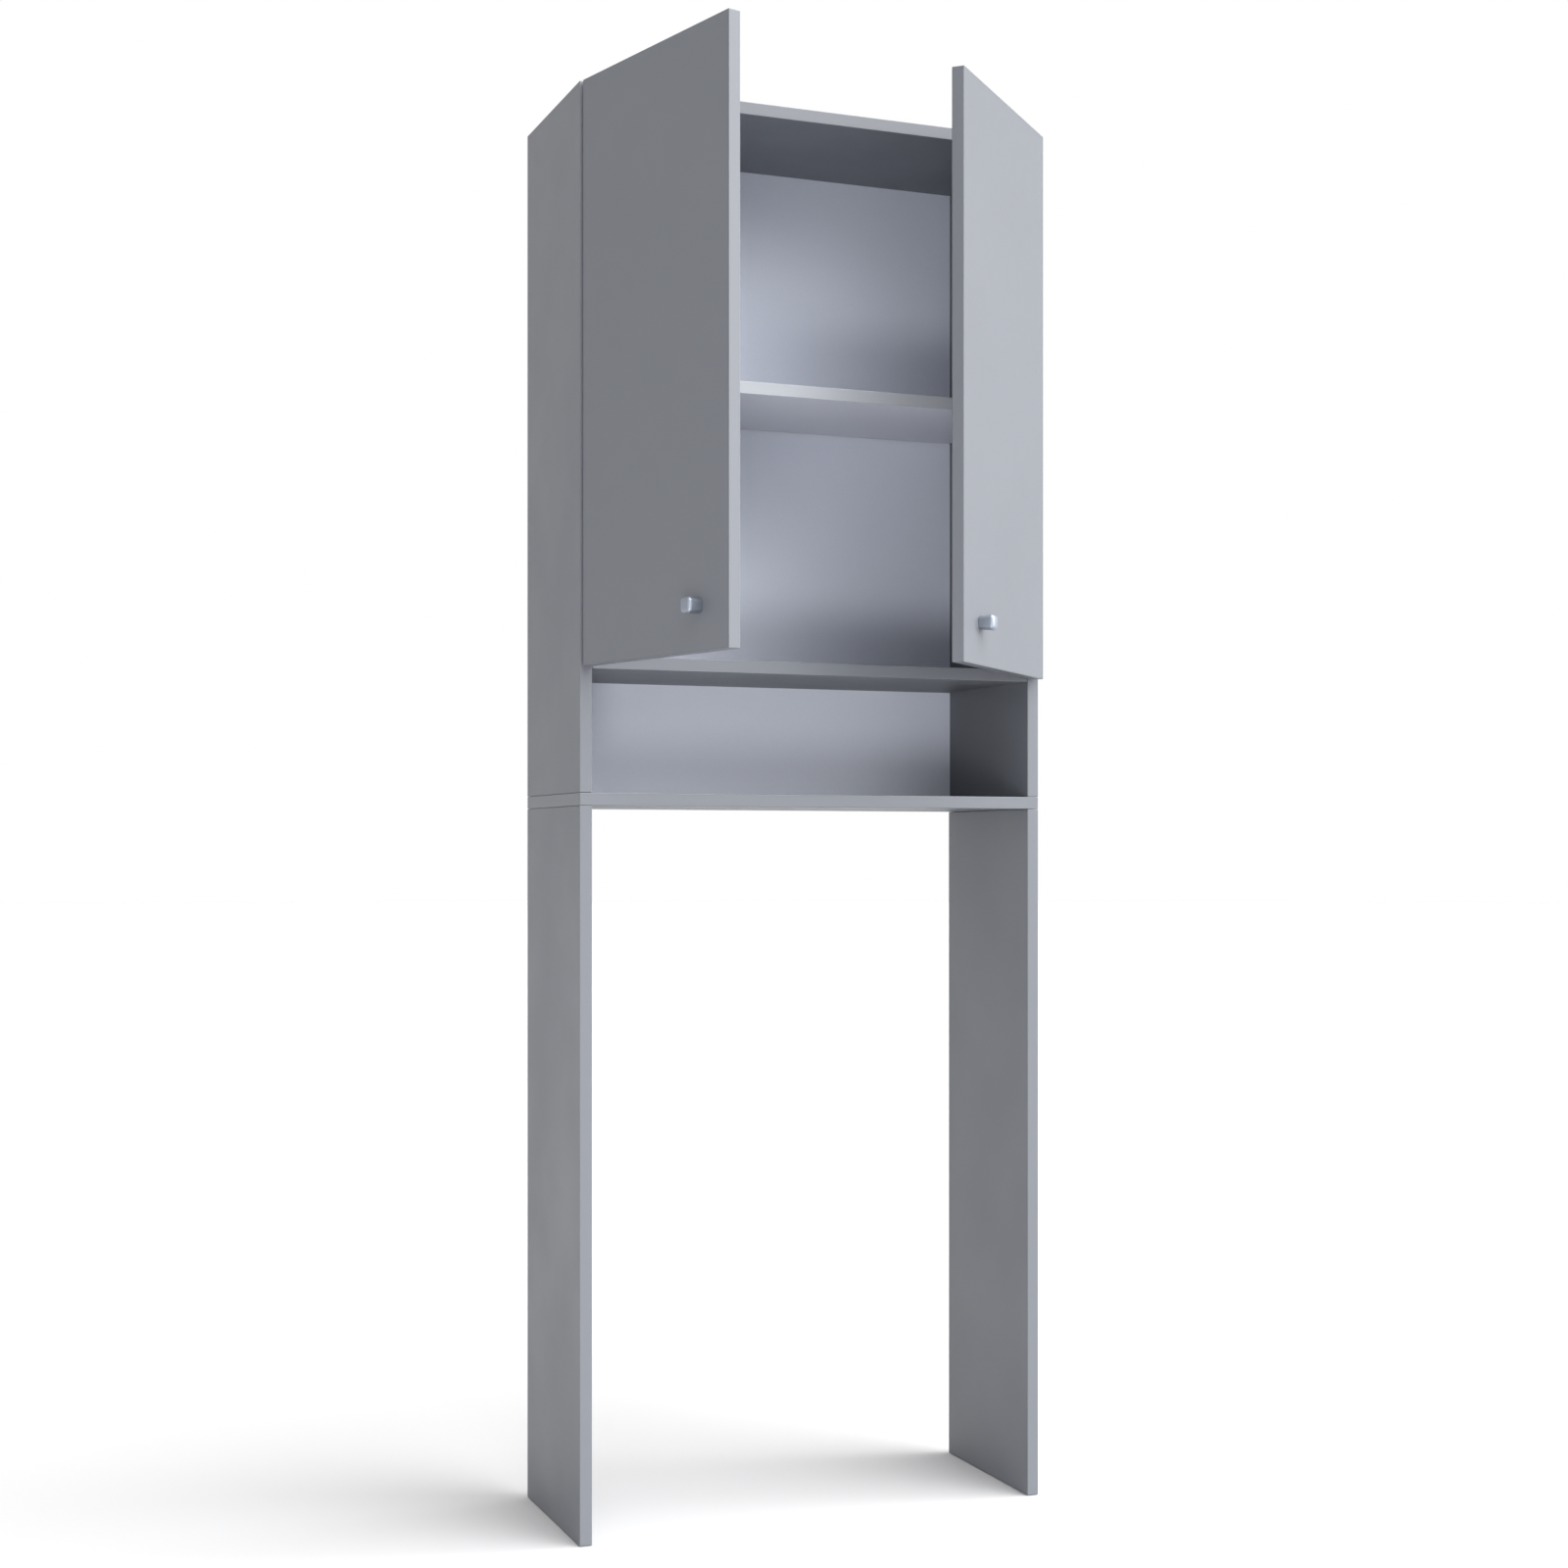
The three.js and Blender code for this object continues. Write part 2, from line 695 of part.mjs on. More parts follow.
// The mounting plate: two wings on the board, and a saddle that fills the channel of the arm
function mountingPlate() {
  const low = boardThickness + seam;
  const wings = slab(
    roundedRectangle(
      plateLine - plateWingWidth / 2,
      -plateWingSpan / 2,
      plateLine + plateWingWidth / 2,
      plateWingSpan / 2,
      plateCornerRadius,
    ),
    low,
    low + plateThickness,
  ).applyMatrix4(turned.x);
  const saddleHalfWidth = armInside - seam;
  const saddleTop = armRearTop - armCheek - seam;
  const saddle = block(
    point(low, plateFront, -saddleHalfWidth),
    point(saddleTop, armEnd - armCheek, saddleHalfWidth),
  );
  const noseRelief = slab(
    new THREE.Shape([
      new THREE.Vector2(low + plateThickness, plateFront - overrun),
      new THREE.Vector2(saddleTop + overrun, plateFront - overrun),
      new THREE.Vector2(saddleTop + overrun, armNoseLength + armSlopeLength + armCheek),
    ]),
    -armOutside,
    armOutside,
  );
  const screwHoles = [-plateScrewSpacing / 2, plateScrewSpacing / 2].map((z) =>
    rod('x', { y: plateLine, z }, plateScrewHoleRadius, low - overrun, low + plateThickness + overrun),
  );
  const clampHole = rod(
    'x',
    { y: armEnd - armSlotFromEnd },
    clampScrewRadius,
    saddleTop - clampScrewDepth,
    saddleTop + overrun,
  );
  return combine([wings, saddle], [noseRelief, ...screwHoles, clampHole]);
}

// Shapes that both doors share
const shapes = {
  side: upperSide(),
  door: door(),
  knob: knob(),
  knobScrew: knobScrew(),
  outerLink: outerLink(),
  innerLink: innerLink(),
  rearArmPin: rivet(rearArmPivot, armOutside),
  frontArmPin: rivet(frontArmPivot, armOutside),
  deepCupPin: rivet(deepCupPivot, cupEarOutside),
  cup: hingeCup(),
  arm: hingeArm(),
  plate: mountingPlate(),
};

// A group that turns about a pivot; what is added keeps its closed place at no turn
function turningGroup(pivot, parentPivot, angle) {
  const group = new THREE.Group();
  group.position.set(pivot.x - parentPivot.x, pivot.y - parentPivot.y, 0);
  group.rotation.z = angle;
  group.userData.pivot = pivot;
  return group;
}

function seat(group, name, geometry, material, height = 0) {
  const pivot = group.userData.pivot;
  const placed = geometry.clone().translate(-pivot.x, -pivot.y, height);
  group.add(mesh(name, placed, material));
}

// Everything on one side of the cabinet, drawn for the left and mirrored for the right
function halfOf(side, opening) {
  const start = new THREE.Vector2(0, 0);
  const fixed = turningGroup(start, start, 0);
  const outerLinks = turningGroup(rearArmPivot, start, -outerLinkTurnShare * opening);
  const doorGroup = turningGroup(nearCupPivot, rearArmPivot, -(1 - outerLinkTurnShare) * opening);
  const innerLinks = turningGroup(deepCupPivot, nearCupPivot, (1 - innerLinkTurnShare) * opening);
  fixed.add(outerLinks);
  outerLinks.add(doorGroup);
  doorGroup.add(innerLinks);

  seat(fixed, `${side}_upper_side`, shapes.side, greyBoard);
  for (const [place, y] of Object.entries(pinPlaces)) {
    seat(fixed, `${side}_${place}_shelf_pin`, shelfPin(y), nickelSteel);
  }
  seat(doorGroup, `${side}_door`, shapes.door, greyBoard);
  seat(doorGroup, `${side}_door_knob`, shapes.knob, satinChrome);
  seat(doorGroup, `${side}_knob_screw`, shapes.knobScrew, zincSteel);
  for (const [level, height] of Object.entries(hingeHeights)) {
    const hinge = `${side}_${level}_hinge`;
    seat(fixed, `${hinge}_mounting_plate`, shapes.plate, zincSteel, height);
    seat(fixed, `${hinge}_arm`, shapes.arm, nickelSteel, height);
    seat(fixed, `${hinge}_rear_arm_pin`, shapes.rearArmPin, zincSteel, height);
    seat(fixed, `${hinge}_front_arm_pin`, shapes.frontArmPin, zincSteel, height);
    seat(outerLinks, `${hinge}_outer_link`, shapes.outerLink, nickelSteel, height);
    seat(doorGroup, `${hinge}_cup`, shapes.cup, nickelSteel, height);
    seat(doorGroup, `${hinge}_cup_pin`, shapes.deepCupPin, zincSteel, height);
    seat(innerLinks, `${hinge}_inner_link`, shapes.innerLink, nickelSteel, height);
  }
  return fixed;
}

const cabinet = new THREE.Group();
cabinet.add(mesh('left_lower_side', lowerSide(0), greyBoard));
cabinet.add(mesh('right_lower_side', lowerSide(innerRight), greyBoard));
cabinet.add(mesh('base_board', baseBoard(), greyBoard));
cabinet.add(mesh('fixed_shelf', fixedShelf(), greyBoard));
cabinet.add(mesh('top_board', topBoard(), greyBoard));
cabinet.add(mesh('loose_shelf', looseShelf(), whiteBoard));
cabinet.add(mesh('back_panel', backPanel(), whiteBoard));

const leftHalf = halfOf('left', leftDoorOpening);
const rightHalf = halfOf('right', rightDoorOpening);
rightHalf.position.x = carcassWidth;
rightHalf.scale.x = -1;
cabinet.add(leftHalf, rightHalf);

cabinet.position.set(-carcassWidth / 2, (doorReach - carcassDepth) / 2, 0);
const part = new THREE.Group();
part.add(cabinet);

export default part;
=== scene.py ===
# %% [markdown]
# # A tall cabinet with two doors over an open bay
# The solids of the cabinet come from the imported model, at their real size. This script gives them
# their finishes, makes the small things that are too fine for the solids, and sets up the camera,
# the floor and the light. Every cell ends by printing what it made.

# %% Load the solids
import json
import math

import bmesh
import bpy
from mathutils import Matrix, Vector


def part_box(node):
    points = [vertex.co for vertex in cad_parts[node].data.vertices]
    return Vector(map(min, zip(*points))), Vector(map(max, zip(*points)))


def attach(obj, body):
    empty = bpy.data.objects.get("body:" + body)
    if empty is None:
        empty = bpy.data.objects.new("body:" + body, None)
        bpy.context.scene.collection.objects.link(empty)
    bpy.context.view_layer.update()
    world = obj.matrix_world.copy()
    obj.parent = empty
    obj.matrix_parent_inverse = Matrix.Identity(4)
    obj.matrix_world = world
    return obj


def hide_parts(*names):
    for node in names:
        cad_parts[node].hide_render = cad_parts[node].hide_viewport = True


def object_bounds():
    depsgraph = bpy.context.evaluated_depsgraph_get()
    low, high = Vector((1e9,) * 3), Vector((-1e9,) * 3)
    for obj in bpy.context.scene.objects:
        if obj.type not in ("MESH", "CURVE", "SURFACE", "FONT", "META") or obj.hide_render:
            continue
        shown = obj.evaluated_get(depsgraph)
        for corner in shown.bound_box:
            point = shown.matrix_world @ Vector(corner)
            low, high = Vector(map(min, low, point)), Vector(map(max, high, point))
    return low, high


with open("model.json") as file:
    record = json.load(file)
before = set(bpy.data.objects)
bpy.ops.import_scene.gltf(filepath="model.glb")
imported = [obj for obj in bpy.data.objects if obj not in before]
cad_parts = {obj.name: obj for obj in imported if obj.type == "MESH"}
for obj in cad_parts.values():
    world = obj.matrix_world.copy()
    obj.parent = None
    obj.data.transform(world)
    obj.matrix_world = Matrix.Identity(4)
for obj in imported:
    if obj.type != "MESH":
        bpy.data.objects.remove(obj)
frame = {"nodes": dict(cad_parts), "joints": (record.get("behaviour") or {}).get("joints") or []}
cad_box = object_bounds()
solids = frame["nodes"]

# %% [markdown]
# ## Units
# Blender works in metres, and furniture is drawn in millimetres. A short name for the millimetre
# lets each size be written as a joiner would say it.

# %% Units
MM = 0.001
height = Vector(cad_box[1]).z
print(f"the cabinet is {height / MM:.0f} mm high")

# %% [markdown]
# ## Camera
# The photograph was taken with a level camera, so upright edges stay upright, and its frame was
# moved afterwards. A level camera with a shifted lens gives the same picture. The place, turn and
# focal length were found by fitting the corners of the boards.

# %% Camera
PHOTO_WIDTH_PX = 1600
FOCAL_LENGTH_PX = 2431.0
AXIS_X_PX = 849.8
HORIZON_Y_PX = 870.9
SENSOR_WIDTH = 36.0
CAMERA_PLACE = Vector((-1155.2, -2837.1, 864.0)) * MM
CAMERA_TURN = math.radians(22.313)

camera_data = bpy.data.cameras.new("photograph_camera")
camera_data.sensor_width = SENSOR_WIDTH
camera_data.lens = FOCAL_LENGTH_PX / PHOTO_WIDTH_PX * SENSOR_WIDTH
camera_data.shift_x = (PHOTO_WIDTH_PX / 2 - AXIS_X_PX) / PHOTO_WIDTH_PX
camera_data.shift_y = (HORIZON_Y_PX - PHOTO_WIDTH_PX / 2) / PHOTO_WIDTH_PX
camera = bpy.data.objects.new("photograph_camera", camera_data)
camera.location = CAMERA_PLACE
camera.rotation_euler = (math.pi / 2, 0.0, -CAMERA_TURN)
bpy.context.scene.collection.objects.link(camera)
bpy.context.scene.camera = camera
print(f"a {camera_data.lens:.1f} mm lens at", [round(c, 2) for c in camera.location])

# %% [markdown]
# ## Colours and nodes
# Colours are read off as sRGB hex codes, but shaders work with linear light, so one function turns
# the codes round, and a second makes a colour brighter or darker. Another adds a shader node, sets
# it up and links it, which keeps the recipes below short.

# %% Colours and nodes
NOISE_LOW, NOISE_HIGH = 0.3, 0.7  # a noise texture hardly leaves this range


def linear(code):
    """The linear colour of an sRGB hex code, with full alpha."""
    channels = [int(code[i : i + 2], 16) / 255 for i in (1, 3, 5)]
    return [c / 12.92 if c <= 0.04045 else ((c + 0.055) / 1.055) ** 2.4 for c in channels] + [1.0]


def toned(code, factor):
    """The linear colour of a code, this many times as bright."""
    return [min(c * factor, 1.0) for c in linear(code)[:3]] + [1.0]


def add_node(tree, kind, settings=None, inputs=None):
    """Adds a shader node. An input takes a value, or the output socket it is linked to."""
    node = tree.nodes.new("ShaderNode" + kind)
    for name, value in (settings or {}).items():
        setattr(node, name, value)
    for name, value in (inputs or {}).items():
        if isinstance(value, bpy.types.NodeSocket):
            tree.links.new(value, node.inputs[name])
        else:
            node.inputs[name].default_value = value
    return node


def scale_for(size):
    """The texture scale at which one cell of the pattern has this size."""
    return 1 / size


def new_material(name):
    """An empty material, its node tree and the Object coordinates that its patterns read."""
    material = bpy.data.materials.new(name)
    material.use_nodes = True
    tree = material.node_tree
    tree.nodes.clear()
    return material, tree, add_node(tree, "TexCoord").outputs["Object"]


def finish_with(tree, inputs):
    """Ends a material with a Principled shader that takes these inputs."""
    shader = add_node(tree, "BsdfPrincipled", inputs=inputs)
    add_node(tree, "OutputMaterial", inputs={"Surface": shader.outputs["BSDF"]})


print("mid grey is", [round(c, 3) for c in linear("#808080")])

# %% [markdown]
# ## Melamine-faced board
# The boards are particle board pressed between two sheets of melamine resin paper. The face is an
# even grey with a fine pearl grain pressed into it, and a satin sheen that is a little broken by
# the grain. The edges that show carry a strip of plastic tape, somewhat smoother than the face,
# and where tape and face meet there is a hairline. The back edges stand at the wall, so they are
# left as raw chips, as factories do. Chips lie flat in the board, so they look long and thin from
# its edge.
#
# One recipe serves every board. It finds its way by distance: half the size of the board less the
# distance from its middle gives how deep a point lies under each pair of faces. A point with next
# to no depth across the thickness is on a face, any other is on an edge.

# %% Raw chips
CHIP_LENGTH, CHIP_WIDTH = 5.0 * MM, 1.5 * MM
CHIP_DARK, CHIP_LIGHT = "#8f6d48", "#d3b487"


def raw_chips(tree, coords, thin):
    """The colour of bare particle board, and a tone that changes from chip to chip."""
    chip_size = [CHIP_LENGTH] * 3
    chip_size["xyz".index(thin)] = CHIP_WIDTH
    flattened = add_node(tree, "Mapping", inputs={
        "Vector": coords, "Scale": [scale_for(s) for s in chip_size],
    }).outputs["Vector"]
    chips = add_node(tree, "TexVoronoi", inputs={"Vector": flattened, "Scale": 1.0})
    tone = add_node(tree, "SeparateColor", inputs={0: chips.outputs["Color"]}).outputs[0]
    wood = add_node(tree, "ValToRGB", inputs={"Fac": tone})
    wood.color_ramp.elements[0].color = linear(CHIP_DARK)
    wood.color_ramp.elements[1].color = linear(CHIP_LIGHT)
    return wood.outputs["Color"], tone


print("chips are", round(CHIP_LENGTH / MM, 1), "mm long")

# %% Melamine-faced board
ON_FACE, ON_EDGE = 0.05 * MM, 0.3 * MM  # depths under the face between which it turns to edge
TAPE_THICKNESS = 0.8 * MM
HAIRLINE_WIDTH = 0.35 * MM  # the real joint is 0.1 mm wide, too fine to show
HAIRLINE_STRENGTH, HAIRLINE_TONE = 0.45, 0.35
PAPER_FIBRE, SPECKLE_LOW, SPECKLE_HIGH = 0.5 * MM, 0.965, 1.035
CLOUD, SATIN_LOW, SATIN_HIGH = 140 * MM, 0.42, 0.50
PEARL_GRAIN, GRAIN_STRENGTH, GRAIN_RELIEF = 1.4 * MM, 0.35, 0.02 * MM
TAPE_ROUGHNESS, CHIP_ROUGHNESS = 0.40, 0.9
RAW_START, RAW_FULL = 0.55 * MM, 0.45 * MM  # depths under the back between which chips begin
CHIP_RELIEF = 12.0  # times the relief of the grain
RESIN_IOR = 1.5


def melamine_board(name, face, tape, size, centre, thin, turn=0.0, raw_back=True):
    """Melamine-faced board of this size and centre. thin is the axis of its thickness."""
    material, tree, coords = new_material(name)
    back_turn = Matrix.Rotation(-turn, 3, "Z")
    local = add_node(tree, "Mapping", inputs={
        "Vector": coords, "Rotation": (0.0, 0.0, -turn), "Location": -(back_turn @ centre),
    }).outputs["Vector"]
    distance = add_node(tree, "VectorMath", {"operation": "ABSOLUTE"}, {0: local}).outputs[0]
    depth = add_node(tree, "VectorMath", {"operation": "SUBTRACT"}, {0: size / 2, 1: distance})
    depths = add_node(tree, "SeparateXYZ", inputs={0: depth.outputs[0]}).outputs
    in_plane = [depths[axis] for axis in "XYZ" if axis != thin.upper()]
    on_edge = add_node(tree, "MapRange", inputs={
        "Value": depths[thin.upper()], "From Min": ON_FACE, "From Max": ON_EDGE,
    }).outputs["Result"]

    # The hairline runs round each face, one thickness of tape in from its rim.
    rim = add_node(tree, "Math", {"operation": "MINIMUM"}, {0: in_plane[0], 1: in_plane[1]})
    off_line = add_node(tree, "Math", {"operation": "SUBTRACT"}, {
        0: rim.outputs[0], 1: TAPE_THICKNESS + HAIRLINE_WIDTH,
    })
    off_line = add_node(tree, "Math", {"operation": "ABSOLUTE"}, {0: off_line.outputs[0]})
    hairline = add_node(tree, "MapRange", inputs={
        "Value": off_line.outputs[0], "From Min": 0.0, "From Max": HAIRLINE_WIDTH,
        "To Min": HAIRLINE_STRENGTH, "To Max": 0.0,
    }).outputs["Result"]

    # Paper fibres give the face a faint speckle, and the press leaves slightly duller clouds.
    speckle = add_node(tree, "TexNoise", inputs={
        "Vector": coords, "Scale": scale_for(PAPER_FIBRE), "Detail": 2.0,
    }).outputs["Fac"]
    clouds = add_node(tree, "TexNoise", inputs={
        "Vector": coords, "Scale": scale_for(CLOUD), "Detail": 3.0,
    }).outputs["Fac"]
    shade = add_node(tree, "Mix", {"data_type": "RGBA"}, {
        "Factor": speckle, "A": toned(face, SPECKLE_LOW), "B": toned(face, SPECKLE_HIGH),
    }).outputs["Result"]
    shade = add_node(tree, "Mix", {"data_type": "RGBA"}, {
        "Factor": on_edge, "A": shade, "B": linear(tape),
    }).outputs["Result"]
    shade = add_node(tree, "Mix", {"data_type": "RGBA"}, {
        "Factor": hairline, "A": shade, "B": toned(face, HAIRLINE_TONE),
    }).outputs["Result"]
    satin = add_node(tree, "MapRange", inputs={
        "Value": clouds, "From Min": NOISE_LOW, "From Max": NOISE_HIGH,
        "To Min": SATIN_LOW, "To Max": SATIN_HIGH,
    }).outputs["Result"]
    rough = add_node(tree, "Mix", {"data_type": "FLOAT"}, {
        "Factor": on_edge, "A": satin, "B": TAPE_ROUGHNESS,
    }).outputs["Result"]
    relief = add_node(tree, "TexNoise", inputs={
        "Vector": coords, "Scale": scale_for(PEARL_GRAIN), "Detail": 1.0,
    }).outputs["Fac"]

    if raw_back:
        local_y = add_node(tree, "SeparateXYZ", inputs={0: local}).outputs["Y"]
        back = size.y / 2
        on_back = add_node(tree, "MapRange", inputs={
            "Value": local_y, "From Min": back - RAW_START, "From Max": back - RAW_FULL,
        }).outputs["Result"]
        wood, tone = raw_chips(tree, coords, thin)
        shade = add_node(tree, "Mix", {"data_type": "RGBA"}, {
            "Factor": on_back, "A": shade, "B": wood,
        }).outputs["Result"]
        rough = add_node(tree, "Mix", {"data_type": "FLOAT"}, {
            "Factor": on_back, "A": rough, "B": CHIP_ROUGHNESS,
        }).outputs["Result"]
        chip_relief = add_node(tree, "Math", {"operation": "MULTIPLY"}, {0: tone, 1: CHIP_RELIEF})
        relief = add_node(tree, "Mix", {"data_type": "FLOAT"}, {
            "Factor": on_back, "A": relief, "B": chip_relief.outputs[0],
        }).outputs["Result"]

    bump = add_node(tree, "Bump", inputs={
        "Height": relief, "Strength": GRAIN_STRENGTH, "Distance": GRAIN_RELIEF,
    })
    finish_with(tree, {
        "Base Color": shade, "Roughness": rough, "IOR": RESIN_IOR, "Normal": bump.outputs["Normal"],
    })
    return material


print("one pearl of the grain is", round(PEARL_GRAIN / MM, 1), "mm")

# %% [markdown]
# ## The grey boards
# The fixed boards lie square to the room, so each box of the model gives a board's size and middle
# at once. The doors stand open, and the axis of their thickness is turned with them, so their
# width is worked out from the box and the opening. The rounded edges make it come out a millimetre
# or two short, too little to show in the finish.

# %% The grey boards
GREY_FACE, GREY_TAPE = "#62656b", "#63666c"
OPENING = {"left": math.radians(-75), "right": math.radians(45)}  # about +Z, as the doors rest
DOOR_THICKNESS = 16 * MM
GREY_BOARDS = {
    "left_lower_side": "x", "right_lower_side": "x",
    "left_upper_side": "x", "right_upper_side": "x",
    "base_board": "z", "fixed_shelf": "z", "top_board": "z",
}


def node_box(name):
    """Size and centre of a solid at rest."""
    low, high = (Vector(corner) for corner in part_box(name))
    return high - low, (low + high) / 2


def set_material(name, material):
    """Puts a material on a solid in place of the one that it came with."""
    slots = solids[name].data.materials
    slots.clear()
    slots.append(material)


for name, thin in GREY_BOARDS.items():
    set_material(name, melamine_board(
        "grey_melamine_" + name, GREY_FACE, GREY_TAPE, *node_box(name), thin,
    ))
for side, turn in OPENING.items():
    size, centre = node_box(side + "_door")
    reach = (size.x - DOOR_THICKNESS * abs(math.sin(turn))) / math.cos(turn)
    set_material(side + "_door", melamine_board(
        f"grey_melamine_{side}_door", GREY_FACE, GREY_TAPE,
        Vector((reach, DOOR_THICKNESS, size.z)), centre, "y", turn, raw_back=False,
    ))
    print(f"the {side} door is {reach / MM:.1f} mm wide")

# %% [markdown]
# ## The loose shelf
# The shelf behind the doors is the same board with a white face. Its tape is painted much darker
# than the face: painted shade for its front edge, which lies in shade between the open doors.

# %% The loose shelf
# The tape colour is painted shade: darker than the face for the shaded front edge of the shelf.
WHITE_FACE, WHITE_TAPE_PAINTED_SHADE = "#cbced8", "#a2a5ab"

size, centre = node_box("loose_shelf")
set_material("loose_shelf", melamine_board(
    "white_melamine_shelf", WHITE_FACE, WHITE_TAPE_PAINTED_SHADE, size, centre, "z",
))
print("the loose shelf is", [round(s / MM) for s in size], "mm")

# %% [markdown]
# ## The back panel
# The back is a sheet of hardboard, let into a rebate. Its front is lacquered white at the factory,
# but here it is painted a darker, bluish grey: painted shade, the cool dimness inside the cabinet.
# Its rear stays the bare brown of pressed wood fibre, which is matt and softly felted. Both
# finishes are in one material that changes over half way through the sheet.

# %% The back panel
# The two lacquer tones are bluish greys in place of white: painted shade for the dim inside of the
# cabinet.
ROLLER_MARK, LACQUER_PAINTED_SHADE_DARK, LACQUER_PAINTED_SHADE_LIGHT = 2.5 * MM, "#ced4e3", "#d7dbe7"
FIBRE_SIZE, BROWN_DARK, BROWN_LIGHT = (3.0 * MM, 1.0 * MM, 0.7 * MM), "#6d4f34", "#94714e"
LACQUER_ROUGHNESS, FELT_ROUGHNESS = 0.42, 0.82
FELT_STRENGTH, FELT_RELIEF = 0.4, 0.05 * MM
CHANGE_OVER = 0.1 * MM

size, centre = node_box("back_panel")
hardboard, tree, coords = new_material("lacquered_hardboard_painted_shade")
depth = add_node(tree, "SeparateXYZ", inputs={0: coords}).outputs["Y"]
on_rear = add_node(tree, "MapRange", inputs={
    "Value": depth, "From Min": centre.y, "From Max": centre.y + CHANGE_OVER,
}).outputs["Result"]
roller_marks = add_node(tree, "TexNoise", inputs={
    "Vector": coords, "Scale": scale_for(ROLLER_MARK), "Detail": 2.0,
}).outputs["Fac"]
# Painted shade: the roller marks mix two bluish greys that stand in for the shaded white lacquer.
lacquer_and_painted_shade = add_node(tree, "Mix", {"data_type": "RGBA"}, {
    "Factor": roller_marks, "A": linear(LACQUER_PAINTED_SHADE_DARK), "B": linear(LACQUER_PAINTED_SHADE_LIGHT),
}).outputs["Result"]
felted = add_node(tree, "Mapping", inputs={
    "Vector": coords, "Scale": [scale_for(s) for s in FIBRE_SIZE],
}).outputs["Vector"]
fibres = add_node(tree, "TexNoise", inputs={
    "Vector": felted, "Scale": 1.0, "Detail": 4.0, "Distortion": 1.2,
}).outputs["Fac"]
brown = add_node(tree, "ValToRGB", inputs={"Fac": fibres})
for element, position, code in zip(
    brown.color_ramp.elements, (NOISE_LOW, NOISE_HIGH), (BROWN_DARK, BROWN_LIGHT)
):
    element.position = position
    element.color = linear(code)
shade = add_node(tree, "Mix", {"data_type": "RGBA"}, {
    "Factor": on_rear, "A": lacquer_and_painted_shade, "B": brown.outputs["Color"],
}).outputs["Result"]
rough = add_node(tree, "MapRange", inputs={
    "Value": on_rear, "To Min": LACQUER_ROUGHNESS, "To Max": FELT_ROUGHNESS,
}).outputs["Result"]
relief = add_node(tree, "Mix", {"data_type": "FLOAT"}, {
    "Factor": on_rear, "A": roller_marks, "B": fibres,
}).outputs["Result"]
bump = add_node(tree, "Bump", inputs={
    "Height": relief, "Strength": FELT_STRENGTH, "Distance": FELT_RELIEF,
})
finish_with(tree, {
    "Base Color": shade, "Roughness": rough, "IOR": RESIN_IOR, "Normal": bump.outputs["Normal"],
})
set_material("back_panel", hardboard)
print("the back panel is", round(size.y / MM, 1), "mm thick")

# %% [markdown]
# ## Metals
# Three platings are at work here. The knobs are zinc castings with satin chrome: cool, even and
# softly brushed. The hinges are pressed from steel strip and plated with bright nickel, a little
# warmer, with faint drawing lines, and the shelf pins have the same plating. The hinges' plates,
# pins and screws are zinc plated, and their crystals break up the gloss. All are metals, so the
# colour is in the reflection. One noise, stretched along the brushing or drawing, varies tint,
# gloss and relief together.

# %% Metals
DULL, BRIGHT = 0.93, 1.05
PLATING_STRENGTH = 0.3


def plated_metal(name, colour, gloss, cell, relief, stretch=(1.0, 1.0, 1.0)):
    """A plated metal. gloss is the least and the most roughness, cell the size of the pattern."""
    material, tree, coords = new_material(name)
    drawn = add_node(tree, "Mapping", inputs={
        "Vector": coords, "Scale": [scale_for(cell * s) for s in stretch],
    }).outputs["Vector"]
    pattern = add_node(tree, "TexNoise", inputs={
        "Vector": drawn, "Scale": 1.0, "Detail": 3.0,
    }).outputs["Fac"]
    tint = add_node(tree, "Mix", {"data_type": "RGBA"}, {
        "Factor": pattern, "A": toned(colour, DULL), "B": toned(colour, BRIGHT),
    })
    rough = add_node(tree, "MapRange", inputs={
        "Value": pattern, "From Min": NOISE_LOW, "From Max": NOISE_HIGH,
        "To Min": gloss[0], "To Max": gloss[1],
    })
    bump = add_node(tree, "Bump", inputs={
        "Height": pattern, "Strength": PLATING_STRENGTH, "Distance": relief,
    })
    finish_with(tree, {
        "Base Color": tint.outputs["Result"], "Metallic": 1.0,
        "Roughness": rough.outputs["Result"], "Normal": bump.outputs["Normal"],
    })
    return material


satin_chrome = plated_metal(
    "satin_chromed_zinc", "#959ca7", gloss=(0.46, 0.52), cell=0.8 * MM, relief=0.002 * MM,
    stretch=(1.0, 1.0, 3.0),
)
bright_nickel = plated_metal(
    "bright_nickel", "#c2c0ba", gloss=(0.16, 0.28), cell=0.9 * MM, relief=0.003 * MM,
    stretch=(4.0, 4.0, 1.0),
)
zinc_plating = plated_metal(
    "zinc_plating", "#bfc4ca", gloss=(0.28, 0.46), cell=0.9 * MM, relief=0.006 * MM,
)
for name in solids:
    if name.endswith(("hinge_arm", "hinge_cup", "outer_link", "inner_link")):
        set_material(name, bright_nickel)
    elif name.endswith(("mounting_plate", "_pin")):
        set_material(name, zinc_plating)
print("metals:", satin_chrome.name, bright_nickel.name, zinc_plating.name)

# %% [markdown]
# ## Where the small pieces go
# Knobs, pins and screws are made once, upright at the origin, and then set in place. On a door the
# places are counted from the hinge corner of its inner face: across the door, out towards the
# room, and up. On the carcass they are counted from the outer front corner of a side. A frame for
# each turns these counts into places in the room. The right-hand frames are mirrored, which turns
# a mesh inside out, so every finished piece has its normals worked out again.

